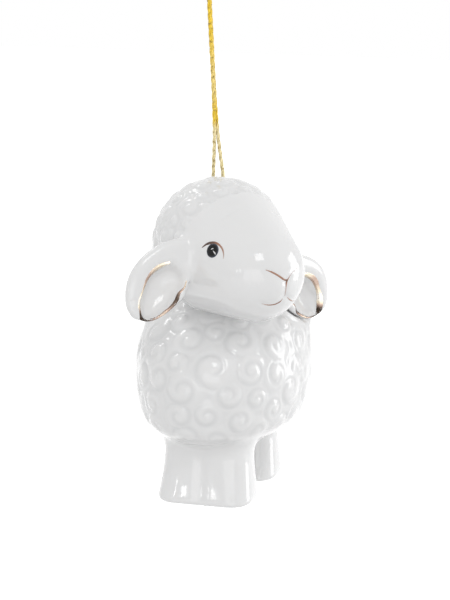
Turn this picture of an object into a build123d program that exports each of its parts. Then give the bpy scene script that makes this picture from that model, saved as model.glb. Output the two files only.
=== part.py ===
import os
from math import asin, cos, degrees, pi, radians, sin, sqrt, tan

from build123d import *

# A white porcelain lamb that hangs on a gold cord loop. Millimetres and degrees.
# The lamb faces -Y, its own left is +X, and heights are counted up from its soles.
# The row's origin is the hook seat: the inner top of the cord's eye.

# Body
leg_height = 12.5  # sole to belly
torso_width = 40.0
torso_length = 55.6
torso_height = 38.0  # belly to withers
torso_wall = 2.3  # slip-cast shell
drain_radius = 2.2  # hole in the belly where the slip was poured out
lute_gap = 0.05  # line of slip between two cast parts

# Head
head_radius = 15.3
muzzle_radius = 11.0
muzzle_reach = 14.4  # head centre to muzzle centre
head_wall = 2.1
head_lift = 8.3  # head centre above the withers
head_forward = 10.0
head_aside = 2.2  # head centre to the lamb's left of the body's middle
head_yaw = 51.0  # turned to the lamb's left
head_roll = 4.5  # tipped, left ear lower
muzzle_pitch = 15.0
neck_radius = 4.6

# Ears
ear_length = 19.2
ear_width = 12.0
ear_depth = 6.4
ear_wall = 1.5
ear_front = 1.5  # how far the rim stands in front of the ear's middle
ear_stand = 14.5  # root of the ear, out from the head's middle
ear_ahead = 5.3  # root of the ear, forward of the head's middle
ear_rise = 2.3  # root of the ear above the head's middle
right_ear_droop = 28.0  # outward lean of the hanging ear
right_ear_sweep = 0.0  # backward lean
right_ear_turn = 15.0  # how far the ear's cup is turned outward
left_ear_droop = 40.0  # the left ear was luted on lower and swept back
left_ear_sweep = 20.0
left_ear_turn = 8.0
left_ear_drop = 5.0

# Eyes, painted thick in dark enamel
eye_width = 3.0
eye_height = 3.15
eye_proud = 0.3
eye_along = 12.7  # from the head's middle along the muzzle's line
eye_round = 69.0  # round the muzzle's line from its top

# Legs, cast in pairs
leg_pair_width = 21.2
leg_pair_depth = 12.4
leg_corner = 4.0
leg_spacing = 21.0  # front pair to hind pair
toe_forward = 1.8
sole_round = 1.1
cleft_radius = 1.6  # groove between the two legs of a pair
cleft_depth = 0.25

# Tail
tail_length = 11.0
tail_width = 7.6
tail_lean = 14.0
tail_root_share = 0.72  # height of its root on the body

# Cord
cord_diameter = 0.82
hole_diameter = 1.8
hole_spacing = 2.6
hang_length = 55.0  # hook seat to the middle of the crown's wall
crown_aside = -0.5  # middle of the two holes, from the body's middle
crown_back = -1.78  # over the lamb's centre of mass
cord_lean = 2.95  # the cord's line runs through the hook, the crown and the centre of mass
fork_rise = 14.2  # crown to the point where the two strands part
strand_gap = 0.06
eye_loop_width = 5.0  # the eye that the hook goes through
eye_loop_height = 9.3
crown_loop_drop = 2.9  # middle of the crown's wall to the cord's turn under it
fork_gap = 0.12  # between the fixed and the turning stretch of the cord
knot_width = 3.0
knot_height = 2.6
tail_end_length = 5.5
tail_end_spread = 24.0
overrun = 2.0

# Torso outline, from belly to withers: height, half width, half length and shift back,
# as shares of the torso's height, half width, half length and half length.
torso_shares = [
    (0.00, 0.44, 0.48, 0.00),
    (0.06, 0.71, 0.72, 0.00),
    (0.14, 0.89, 0.88, 0.01),
    (0.26, 0.97, 0.95, 0.03),
    (0.43, 1.00, 0.99, 0.05),
    (0.59, 0.98, 0.97, 0.09),
    (0.73, 0.91, 0.87, 0.19),
    (0.86, 0.72, 0.67, 0.25),
    (0.95, 0.48, 0.44, 0.26),
    (1.00, 0.27, 0.26, 0.26),
]

# Ear outline, from root to tip: place along the ear, half width and half depth.
ear_shares = [
    (0.00, 0.52, 0.70),
    (0.20, 0.80, 0.92),
    (0.45, 0.99, 1.00),
    (0.68, 0.97, 0.97),
    (0.87, 0.74, 0.80),
    (1.00, 0.34, 0.42),
]
ear_hollow_start_share = 0.10
ear_hollow_end_share = 0.94

# Leg outline, from sole to where it enters the body: height, width, depth and toe shift.
leg_shares = [
    (0.00, 1.06, 1.14, 1.00),
    (0.42, 0.96, 0.95, 0.25),
    (0.72, 1.00, 1.02, 0.00),
    (1.00, 1.08, 1.16, 0.00),
]
leg_reach_share = 1.85  # leg blocks run up into the body by this share of the leg height

# Knot outline, from bottom to top: place along its height and half width.
knot_shares = [
    (-0.50, 0.45),
    (-0.30, 0.84),
    (0.00, 1.00),
    (0.30, 0.84),
    (0.50, 0.45),
]

# Cord: a bend's share of its shorter run, and the eye's shape
bend_share = 0.45
eye_widest_share = 0.35
eye_top_share = 0.52
knot_seat_share = 0.3


# Where the lamb hangs. The cord's own frame has its Z up along the cord.
lean = radians(cord_lean)
cord_frame = Plane(origin=(0, 0, 0), x_dir=(cos(lean), 0, sin(lean)), z_dir=(-sin(lean), 0, cos(lean)))
crown_point = cord_frame.from_local_coords(Vector(0, 0, -hang_length))
crown_radius = head_radius - head_wall / 2
head_height = leg_height + torso_height + head_lift
off_centre = Vector(crown_aside - head_aside, crown_back + head_forward)
crown_height = head_height + sqrt(crown_radius**2 - off_centre.length**2)
lamb = Plane(origin=crown_point - Vector(crown_aside, crown_back, crown_height))


def spot(aside, back, height):
    """A point given from the middle of the soles."""
    return lamb.origin + Vector(aside, back, height)


# Directions of the turned and tipped head
yaw = radians(head_yaw)
roll = radians(head_roll)
head_middle = spot(head_aside, -head_forward, head_height)
forward = Vector(sin(yaw), -cos(yaw), 0)
leftward = Vector(cos(yaw) * cos(roll), sin(yaw) * cos(roll), -sin(roll))
upward = forward.cross(leftward)
pitch = radians(muzzle_pitch)
muzzle_line = forward * cos(pitch) - upward * sin(pitch)
head_plane = Plane(origin=head_middle, x_dir=muzzle_line, z_dir=leftward)
head_axis = Axis(head_middle, muzzle_line)


def torso_sections(grow):
    """The body's outline, swollen or shrunk by one thickness all round."""
    sections = []
    for height_share, width_share, length_share, back_share in torso_shares:
        height = leg_height - grow + (torso_height + 2 * grow) * height_share
        with BuildSketch(lamb.offset(height)) as section:
            with Locations((0, torso_length / 2 * back_share)):
                Ellipse(torso_width / 2 * width_share + grow, torso_length / 2 * length_share + grow)
        sections.append(section.sketch)
    return sections


def head_profile(grow):
    """Skull and muzzle spheres joined by a cone, turned about the muzzle's line."""
    skull = head_radius + grow
    muzzle = muzzle_radius + grow
    slope = asin((skull - muzzle) / muzzle_reach)
    skull_edge = (skull * sin(slope), skull * cos(slope))
    muzzle_edge = (muzzle_reach + muzzle * sin(slope), muzzle * cos(slope))
    with BuildSketch(head_plane) as profile:
        with BuildLine():
            CenterArc((0, 0), skull, 90 - degrees(slope), 90 + degrees(slope))
            Line(skull_edge, muzzle_edge)
            CenterArc((muzzle_reach, 0), muzzle, 0, 90 - degrees(slope))
            Line((muzzle_reach + muzzle, 0), (-skull, 0))
        make_face()
    return profile.sketch


def leg_sections(middle_back, shrink):
    """One pair of legs as a rounded block that grows into the body."""
    reach = leg_height * leg_reach_share
    sections = []
    for height_share, width_share, depth_share, toe_share in leg_shares:
        height = shrink + (reach - shrink) * height_share
        with BuildSketch(lamb.offset(height)) as section:
            with Locations((0, middle_back - toe_forward * toe_share)):
                RectangleRounded(
                    leg_pair_width * width_share - 2 * shrink,
                    leg_pair_depth * depth_share - 2 * shrink,
                    leg_corner - shrink * leg_corner / leg_pair_depth * 2,
                )
        sections.append(section.sketch)
    return sections


front_middle = -leg_spacing / 2
hind_middle = leg_spacing / 2
neck_plane = Plane(origin=head_middle, x_dir=(1, 0, 0), z_dir=(0, 0, -1))

os.makedirs("parts", exist_ok=True)

# Torso: a hollow egg, seated under the head and open into the legs and the neck
with BuildPart() as torso_shell:
    loft(torso_sections(0))
    loft(torso_sections(-torso_wall), mode=Mode.SUBTRACT)
    revolve(head_profile(lute_gap), axis=head_axis, mode=Mode.SUBTRACT)
    loft(leg_sections(front_middle, torso_wall), mode=Mode.SUBTRACT)
    loft(leg_sections(hind_middle, torso_wall), mode=Mode.SUBTRACT)
    with BuildSketch(neck_plane):
        Circle(neck_radius)
    extrude(amount=head_radius + head_lift, mode=Mode.SUBTRACT)
    with BuildSketch(lamb.offset(leg_height - overrun)):
        Circle(drain_radius)
    extrude(amount=torso_wall + 2 * overrun, mode=Mode.SUBTRACT)
torso_shell.part.label = "torso_shell"
export_step(torso_shell.part, "parts/torso_shell.step")

# Head: a hollow skull and muzzle with the neck opening and the two cord holes
with BuildPart() as head_shell:
    revolve(head_profile(0), axis=head_axis)
    revolve(head_profile(-head_wall), axis=head_axis, mode=Mode.SUBTRACT)
    with BuildSketch(neck_plane):
        Circle(neck_radius)
    extrude(amount=head_radius + overrun, mode=Mode.SUBTRACT)
    with BuildSketch(cord_frame.offset(-hang_length - 2 * head_wall)):
        with Locations((-hole_spacing / 2, 0), (hole_spacing / 2, 0)):
            Circle(hole_diameter / 2)
    extrude(amount=4 * head_wall, mode=Mode.SUBTRACT)
head_shell.part.label = "head_shell"
export_step(head_shell.part, "parts/head_shell.step")

# Ears: hanging leaves, hollowed from the front and luted to the sides of the head
ear_poses = (
    ("right_ear", -1, right_ear_droop, right_ear_sweep, right_ear_turn, 0),
    ("left_ear", 1, left_ear_droop, left_ear_sweep, left_ear_turn, left_ear_drop),
)
for ear_name, ear_side, droop, sweep_back, turn_out, drop in ear_poses:
    outward = leftward * ear_side
    down_slope = upward * cos(radians(sweep_back)) + forward * sin(radians(sweep_back))
    ear_line = outward * sin(radians(droop)) - down_slope * cos(radians(droop))
    facing = forward * cos(radians(turn_out)) + outward * sin(radians(turn_out))
    ear_root = head_middle + outward * ear_stand + forward * ear_ahead
    ear_root += upward * (ear_rise - drop)
    ear_plane = Plane(origin=ear_root, x_dir=facing.cross(ear_line), z_dir=ear_line)
    with BuildPart() as ear:
        for place_share, width_share, depth_share in ear_shares:
            with BuildSketch(ear_plane.offset(ear_length * place_share)):
                Ellipse(ear_width / 2 * width_share, ear_depth / 2 * depth_share)
        loft()
        hollow_span_share = ear_hollow_end_share - ear_hollow_start_share
        for place_share, width_share, depth_share in ear_shares:
            hollow_share = ear_hollow_start_share + hollow_span_share * place_share
            with BuildSketch(ear_plane.offset(ear_length * hollow_share)):
                with Locations((0, ear_front)):
                    Ellipse(ear_width / 2 * width_share - ear_wall, ear_depth / 2 * depth_share)
        loft(mode=Mode.SUBTRACT)
        rim_plane = Plane(origin=ear_root + ear_plane.y_dir * ear_front, z_dir=ear_plane.y_dir)
        split(bisect_by=rim_plane, keep=Keep.BOTTOM)
        revolve(head_profile(lute_gap), axis=head_axis, mode=Mode.SUBTRACT)
        loft(torso_sections(lute_gap), mode=Mode.SUBTRACT)
    ear.part.label = ear_name
    export_step(ear.part, f"parts/{ear_name}.step")

# Eyes: low domes of enamel on the face's cone
face_slope = asin((head_radius - muzzle_radius) / muzzle_reach)
face_up = upward * cos(pitch) + forward * sin(pitch)
eye_out = (head_radius - eye_along * sin(face_slope)) / cos(face_slope)
for eye_name, eye_side in (("right_eye", -1), ("left_eye", 1)):
    around = radians(eye_round) * eye_side
    eye_reach = face_up * cos(around) + leftward * sin(around)
    gaze = muzzle_line * sin(face_slope) + eye_reach * cos(face_slope)
    eye_middle = head_middle + muzzle_line * eye_along + eye_reach * eye_out
    eye_plane = Plane(origin=eye_middle - gaze * overrun, x_dir=upward.cross(gaze), z_dir=gaze)
    with BuildPart() as eye:
        with BuildSketch(eye_plane):
            Ellipse(eye_width / 2, eye_height / 2)
        extrude(amount=2 * overrun)
        revolve(head_profile(eye_proud), axis=head_axis, mode=Mode.INTERSECT)
        revolve(head_profile(lute_gap), axis=head_axis, mode=Mode.SUBTRACT)
    eye.part.label = eye_name
    export_step(eye.part, f"parts/{eye_name}.step")

# Legs: two hollow blocks, each a pair of legs with a groove between them
for leg_name, leg_middle in (("front_legs", front_middle), ("hind_legs", hind_middle)):
    cleft_reach = leg_pair_depth / 2 + cleft_radius - cleft_depth
    with BuildPart() as legs:
        loft(leg_sections(leg_middle, 0))
        fillet(legs.edges().group_by(Axis.Z)[0], radius=sole_round)
        with BuildSketch(lamb):
            with Locations((0, leg_middle - cleft_reach), (0, leg_middle + cleft_reach)):
                Circle(cleft_radius)
        extrude(amount=leg_height * leg_reach_share, mode=Mode.SUBTRACT)
        loft(leg_sections(leg_middle, torso_wall), mode=Mode.SUBTRACT)
        loft(torso_sections(lute_gap), mode=Mode.SUBTRACT)
    legs.part.label = leg_name
    export_step(legs.part, f"parts/{leg_name}.step")

# Tail: a short woolly drop on the rump
tail_root = spot(0, torso_length / 2, leg_height + torso_height * tail_root_share)
with BuildPart() as tail:
    tail_line = Vector(0, sin(radians(tail_lean)), -cos(radians(tail_lean)))
    tail_plane = Plane(origin=tail_root, x_dir=tail_line, z_dir=(1, 0, 0))
    with BuildSketch(tail_plane):
        with BuildLine():
            EllipticalCenterArc((tail_length / 2, 0), tail_length / 2, tail_width / 2, arc_size=180)
            Line((0, 0), (tail_length, 0))
        make_face()
    revolve(axis=Axis(tail_root, tail_line))
    loft(torso_sections(lute_gap), mode=Mode.SUBTRACT)
tail.part.label = "tail"
export_step(tail.part, "parts/tail.step")


def tube_radii(points):
    """Each bend's radius, as large as its two runs allow."""
    radii = []
    for before, here, after in zip(points, points[1:], points[2:]):
        run_in = here - before
        run_out = after - here
        half_turn = radians(run_in.get_angle(run_out)) / 2
        radii.append(bend_share * min(run_in.length, run_out.length) / tan(half_turn))
    return radii


def cord_route(half_route):
    """One strand's points in the cord's frame, then the second strand's on the other side."""
    strand = [Vector(*point) for point in half_route]
    other_strand = [Vector(-point.X, -point.Y, point.Z) for point in reversed(strand)]
    return [cord_frame.from_local_coords(point) for point in strand + other_strand]


# The cord's two strands run up one in front of the other from the fork to the eye.
strand_side = (cord_diameter + strand_gap) / 2
fork_height = fork_rise - hang_length
eye_half = eye_loop_width / 2
hanger_route = cord_route(
    [
        (0, -strand_side, fork_height),
        (0, -strand_side, -eye_loop_height),
        (0, -eye_half, -eye_loop_height * eye_widest_share),
        (0, -eye_half * eye_top_share, cord_diameter / 2),
    ]
)

# Below the fork they spread to the two holes, go through the crown and turn under it.
hole_side = hole_spacing / 2
stirrup_route = cord_route(
    [
        (0, -strand_side, fork_height - fork_gap),
        (-hole_side, 0, head_wall - hang_length),
        (-hole_side, 0, -hang_length - crown_loop_drop),
    ]
)

for cord_name, route in (("hanging_cord", hanger_route), ("cord_stirrup", stirrup_route)):
    radii = tube_radii(route)
    with BuildPart() as cord:
        with BuildLine() as line:
            FilletPolyline(*route, radius=radii)
        with BuildSketch(Plane(origin=line.line @ 0, z_dir=line.line % 0)):
            Circle(cord_diameter / 2)
        sweep(path=line.line)
    cord_length = line.wires()[0].length
    full_share = cord.part.volume / (cord_length * pi * cord_diameter**2 / 4)
    print(cord_name, "length", round(cord_length, 2), "radii", [round(radius, 2) for radius in radii])
    print(cord_name, "volume against section times length", round(full_share, 4))
    cord.part.label = cord_name
    export_step(cord.part, f"parts/{cord_name}.step")

# Knot: an overhand knot on the crest of the eye, with the cord's two ends
knot_middle = cord_frame.from_local_coords(Vector(0, 0, cord_diameter / 2 + knot_height * knot_seat_share))
knot_plane = Plane(origin=knot_middle, x_dir=cord_frame.x_dir, z_dir=cord_frame.z_dir)
with BuildPart() as knot:
    for place_share, width_share in knot_shares:
        with BuildSketch(knot_plane.offset(knot_height * place_share)):
            Circle(knot_width / 2 * width_share)
    loft()
    for end_side in (-1, 1):
        spread = radians(tail_end_spread) * end_side
        end_line = cord_frame.z_dir * cos(spread) + cord_frame.x_dir * sin(spread)
        with BuildSketch(Plane(origin=knot_middle, z_dir=end_line)):
            Circle(cord_diameter / 2)
        extrude(amount=knot_height / 2 + tail_end_length)
knot.part.label = "cord_knot"
export_step(knot.part, "parts/cord_knot.step")

print("middle of the soles", lamb.origin)
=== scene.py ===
import math
import random

import bmesh
import bpy
import numpy as np
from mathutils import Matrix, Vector
from mathutils.bvhtree import BVHTree


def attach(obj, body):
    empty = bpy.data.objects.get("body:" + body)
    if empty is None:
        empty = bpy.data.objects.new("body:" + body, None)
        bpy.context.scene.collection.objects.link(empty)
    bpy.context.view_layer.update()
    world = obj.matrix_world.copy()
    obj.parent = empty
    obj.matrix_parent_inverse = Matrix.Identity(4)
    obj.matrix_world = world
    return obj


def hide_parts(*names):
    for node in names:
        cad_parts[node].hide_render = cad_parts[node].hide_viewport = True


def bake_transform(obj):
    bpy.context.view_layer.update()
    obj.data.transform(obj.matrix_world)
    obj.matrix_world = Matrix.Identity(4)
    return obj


# Porcelain lamb on a gold cord. Tables are in millimetres, Blender's objects in metres.
# The origin is the hook seat; the lamb faces -Y and its own left is +X.

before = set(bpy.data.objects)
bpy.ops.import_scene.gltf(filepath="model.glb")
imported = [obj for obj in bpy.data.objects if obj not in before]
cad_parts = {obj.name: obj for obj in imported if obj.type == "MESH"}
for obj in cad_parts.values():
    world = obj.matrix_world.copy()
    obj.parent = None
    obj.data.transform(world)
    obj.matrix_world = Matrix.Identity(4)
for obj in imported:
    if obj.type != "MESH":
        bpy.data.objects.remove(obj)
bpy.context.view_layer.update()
mm = 0.001

hang = {
    "leanDeg": 2.95,  # the cord against the lamb's upright
    "hookToCrown": 55.0, "crownToFork": 14.2,
    "soles": (3.33055, 1.78, -125.05),  # middle of the soles
}
lean = math.radians(hang["leanDeg"])
acrossCord = np.array((math.cos(lean), 0, math.sin(lean)))
alongCord = np.array((-math.sin(lean), 0, math.cos(lean)))
soles = np.array(hang["soles"])


def cordPoint(x, y, z):
    return acrossCord * x + np.array((0, y, 0)) + alongCord * z


def smoothStep(low, high, value):
    t = np.clip((value - low) / (high - low), 0, 1)
    return t * t * (3 - 2 * t)


def unit(vector):
    return vector / np.linalg.norm(vector)


def addObject(name, data):
    thing = bpy.data.objects.new(name, data)
    bpy.context.collection.objects.link(thing)
    return thing


# Camera, fitted to the photographed outline; the image is taken as 450 x 600
shot = {
    "azimuthDeg": 16.5, "elevationDeg": 12.5, "distance": 500.0, "mmPerPixel": 0.23, "aimRight": 0.4,
    "aimUp": 43.9,  # above the soles
    "widthPx": 450, "heightPx": 600,
}
azimuth = math.radians(shot["azimuthDeg"])
elevation = math.radians(shot["elevationDeg"])
flatBack = np.array((math.sin(azimuth), -math.cos(azimuth), 0))
viewRight = np.array((math.cos(azimuth), math.sin(azimuth), 0))
viewBack = flatBack * math.cos(elevation) + np.array((0, 0, math.sin(elevation)))
viewUp = np.cross(viewBack, viewRight)
aim = soles + viewRight * shot["aimRight"] + np.array((0, 0, shot["aimUp"]))
eyePoint = aim + viewBack * shot["distance"]
focalPx = shot["distance"] / shot["mmPerPixel"]

cameraData = bpy.data.cameras.new("photoCamera")
cameraData.sensor_width = 36
cameraData.lens = 36 * focalPx / shot["heightPx"]
cameraData.clip_start = 0.01
cameraData.clip_end = 20
camera = addObject("photoCamera", cameraData)
camera.location = Vector(eyePoint) * mm
camera.rotation_euler = Vector(viewBack).to_track_quat("Z", "Y").to_euler()
bpy.context.scene.camera = camera
print("camera set")


def pixelRay(px, py):
    aside, down = px - shot["widthPx"] / 2, py - shot["heightPx"] / 2
    return unit(viewRight * aside - viewUp * down - viewBack * focalPx)


# Mesh tools


def fullTurn(count):
    return np.linspace(0, 2 * math.pi, count, endpoint=False)


def newPiece(name, work):
    mesh = bpy.data.meshes.new(name)
    bmesh.ops.recalc_face_normals(work, faces=work.faces)
    work.to_mesh(mesh)
    work.free()
    mesh.shade_smooth()
    return addObject(name, mesh)


def stitch(work, rows):  # joins closed rows of vertices and caps both ends
    count = len(rows[0])
    for low, high in zip(rows, rows[1:]):
        for i in range(count):
            j = (i + 1) % count
            work.faces.new((low[i], low[j], high[j], high[i]))
    work.faces.new(rows[0])
    work.faces.new(rows[-1])


def skin(work, rings):
    stitch(work, [[work.verts.new(Vector(point) * mm) for point in ring] for ring in rings])


def oval(around, wide, right, tall, up):  # a ring with these half axes along two directions
    return np.outer(np.cos(around) * wide, right) + np.outer(np.sin(around) * tall, up)


def bake(piece):
    mesh = bpy.data.meshes.new_from_object(piece.evaluated_get(bpy.context.evaluated_depsgraph_get()))
    old = piece.data
    piece.modifiers.clear()
    piece.data = mesh
    bpy.data.meshes.remove(old)
    piece.data.shade_smooth()


def fuse(piece, voxel):
    remesh = piece.modifiers.new("remesh", "REMESH")
    remesh.mode = "VOXEL"
    remesh.voxel_size = voxel * mm
    bake(piece)


def readPoints(piece):
    mesh = piece.data
    points = np.empty(len(mesh.vertices) * 3)
    normals = np.empty(len(mesh.vertices) * 3)
    mesh.vertices.foreach_get("co", points)
    mesh.vertex_normals.foreach_get("vector", normals)
    return points.reshape(-1, 3) / mm, normals.reshape(-1, 3)


def writePoints(piece, points):
    piece.data.vertices.foreach_set("co", (points * mm).ravel())
    piece.data.update()


def relax(piece, rounds, amount=0.5):  # evens out the surface; amount may be one number a vertex
    points, _ = readPoints(piece)
    edges = np.empty(len(piece.data.edges) * 2, dtype=np.int64)
    piece.data.edges.foreach_get("vertices", edges)
    first, second = edges.reshape(-1, 2).T
    total = len(points)
    share = np.bincount(first, minlength=total) + np.bincount(second, minlength=total)
    for _ in range(rounds):
        for axis in range(3):
            column = points[:, axis]
            summed = np.bincount(first, column[second], total) + np.bincount(second, column[first], total)
            points[:, axis] = column + (summed / share - column) * amount
    writePoints(piece, points)


def treeOf(piece):
    mesh = piece.data
    return BVHTree.FromPolygons([vertex.co for vertex in mesh.vertices], [face.vertices for face in mesh.polygons])


def inMm(place, normal, *_):
    return np.array(place) / mm, np.array(normal)


def hitPixel(tree, px, py):
    return inMm(*tree.ray_cast(Vector(eyePoint) * mm, Vector(pixelRay(px, py))))


def nearest(tree, point):
    return inMm(*tree.find_nearest(Vector(point) * mm))


def smoothRows(rows, count, closed=False):  # an even curve through the rows of a table
    rows = np.array(rows, float)
    total = len(rows)
    spans = total if closed else total - 1
    result = []
    for t in np.linspace(0, spans, count, endpoint=not closed):
        i = min(int(t), spans - 1)
        f = t - i
        a, b, c, d = rows[[k % total if closed else min(max(k, 0), total - 1) for k in range(i - 1, i + 3)]]
        square, cube = (2 * a - 5 * b + 4 * c - d) * f**2, (3 * b - a - 3 * c + d) * f**3
        result.append((2 * b + (c - a) * f + square + cube) / 2)
    return np.array(result)


def setAttribute(piece, name, values):
    layer = piece.data.attributes.new(name, "FLOAT", "POINT")
    layer.data.foreach_set("value", np.asarray(values, dtype=np.float32))


# Curls of wool: soft spiral scrolls pressed into the surface


def makeCurl(place, normal, radius, turns, startDeg, hand, groove):
    slope = np.array((0, 0, 1)) - normal * normal[2]
    up = unit(slope if abs(normal[2]) < 0.95 else np.cross(normal, (1, 0, 0)))
    return {
        "middle": place, "out": normal, "right": np.cross(up, normal), "up": up, "radius": radius,
        "turns": turns, "start": math.radians(startDeg), "hand": hand, "groove": groove,
    }


spiral = {"start": (0.12, 0.3), "end": (1.12, 0.9)}  # where the groove comes in and runs out, in curl radii


def curlHeights(points, normals, curls):  # how far each point swells, and how deep it is in a spiral groove
    best = np.zeros(len(points))
    grooves = np.zeros(len(points))
    for curl in curls:
        radius = curl["radius"]
        offset = points - curl["middle"]
        chosen = np.nonzero((np.abs(offset) < radius * 1.5).all(axis=1) & (normals @ curl["out"] > 0.1))[0]
        near = offset[chosen]
        x, y = near @ curl["right"], near @ curl["up"]
        reach = np.sqrt(x * x + y * y) / radius
        dome = np.clip(1 - 0.5 * reach * reach, 0, 1)
        turn = (np.arctan2(y, x) * curl["hand"] - curl["start"]) / (2 * math.pi)
        phase = reach * curl["turns"] - turn
        away = np.abs(phase - np.round(phase)) * radius / curl["turns"]
        line = np.exp(-((away / curl["groove"]) ** 2)) * smoothStep(*spiral["start"], reach)
        line *= smoothStep(*spiral["end"], reach)
        wins = dome > best[chosen]
        best[chosen[wins]] = dome[wins]
        grooves[chosen[wins]] = line[wins]
    return best, grooves


scatter = {"tries": 9000, "gapShare": 0.76, "turns": (0.95, 1.3)}


def scatterCurls(points, normals, allowed, curls, facts, chance):
    indices, gap = np.nonzero(allowed)[0], scatter["gapShare"]
    for _ in range(scatter["tries"]):
        index = indices[chance.randrange(len(indices))]
        radius, place = chance.uniform(*facts["curlRadii"]), points[index]
        if any(math.dist(place, curl["middle"]) < (curl["radius"] + radius) * gap for curl in curls):
            continue
        turns, start, hand = chance.uniform(*scatter["turns"]), chance.uniform(0, 360), chance.choice((-1, 1))
        curls.append(makeCurl(place, normals[index], radius, turns, start, hand, facts["grooveWidth"]))
    return curls


# Body with its legs and tail: one casting under one glaze
body = {
    "legHeight": 12.5, "torsoWidth": 40.0, "torsoLength": 55.6, "torsoHeight": 38.0,
    # height, half width, half length and shift back, as shares
    "torsoShares": (
        (0.00, 0.44, 0.48, 0.00), (0.06, 0.71, 0.72, 0.00), (0.14, 0.89, 0.88, 0.01), (0.26, 0.97, 0.95, 0.03),
        (0.43, 1.00, 0.99, 0.05), (0.59, 0.98, 0.97, 0.09), (0.73, 0.91, 0.87, 0.19), (0.86, 0.72, 0.67, 0.25),
        (0.95, 0.48, 0.44, 0.26), (1.00, 0.27, 0.26, 0.26),
    ),
    "legPairWidth": 21.2, "legPairDepth": 12.4, "legCorner": 4.0, "legSpacing": 21.0, "toeOffset": 1.8,
    "soleRound": 1.3,
    # height, width, depth and toe shift, from sole to where the legs are in the body
    "legShares": (
        (0.00, 1.06, 1.14, 1.00), (0.42, 0.96, 0.95, 0.25), (0.72, 1.00, 1.02, 0.00), (1.00, 1.08, 1.16, 0.00),
    ),
    "legReachShare": 1.85,
    "legBow": 0.8,  # the front of a leg pair bows out by this
    "cleftDepth": 0.35, "cleftWidth": 1.3,
    "cleftEnd": (15.5, 10.5),  # heights over which the groove between the legs comes in
    "tailLength": 11.0, "tailWidth": 7.6, "tailLeanDeg": 14.0, "tailRootShare": 0.72, "tailBlend": (3.5, 7.5),
    "drainRadius": 2.2, "drainDepth": 3.5,
    "soleEdge": (0.4, 2.2),  # heights over which the smoothing of the legs comes in
    "legTop": 3.0,  # it has gone this far above the legs
    "hemReach": 19.0,
    "hemBlend": (1.6, 3.0),  # how far above the legs, and how wide
    "hemFinish": (1.8, 2.6),
    "voxel": 0.32, "smoothRounds": 26, "blendRounds": 60, "settleRounds": 5, "finishRounds": 80,
    "woolStart": (1.5, 7.5),  # above the legs
    "bareTail": (0.2, 1.6),  # the wool sets in this far from the tail
    "headGap": (0.5, 2.4),  # and this far from the head and its ears
    "partingSpan": (0.05, 0.5),  # how far the wool turns off the parting line until its relief is full
    "nestEdge": (1.12, 0.8), "nestFloor": -1.0, "nestTop": (9, 4),  # the dent under the left ear
    "curlScale": 1.15,
    "curlRadii": (3.0, 4.4),  # of the scattered curls
    "partingPx": (225, 380),  # the mould opens along this pixel's ray
    "seamRelief": 0.25,
    "nestDepth": 1.6,  # the dent in the wool where the left ear lies on it
    "curlSwell": 0.8,
    "curlBase": -0.52,  # the creases lie under the plain egg by this
    "grooveDepth": 0.34, "grooveWidth": 0.66,
}
legHeight = body["legHeight"]


def at(aside, back, height):
    return soles + np.array((aside, back, height))


def tailAxis():
    root = at(0, body["torsoLength"] / 2, legHeight + body["torsoHeight"] * body["tailRootShare"])
    tilt = math.radians(body["tailLeanDeg"])
    return root, np.array((0, math.sin(tilt), -math.cos(tilt))), np.array((0, math.cos(tilt), math.sin(tilt)))


def mouldShare(normals, least):  # shallow relief where the mould's two halves part, so that the casting lets go
    return least + (1 - least) * smoothStep(*body["partingSpan"], np.abs(normals @ pixelRay(*body["partingPx"])))


def hemShare(local, lift, spread):  # 1 along the wool's lower edge, where the legs grow out of it
    rise = (local[:, 2] - legHeight - lift) / spread
    return np.exp(-(rise**2)) * (np.abs(local[:, 1]) < body["hemReach"])


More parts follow.
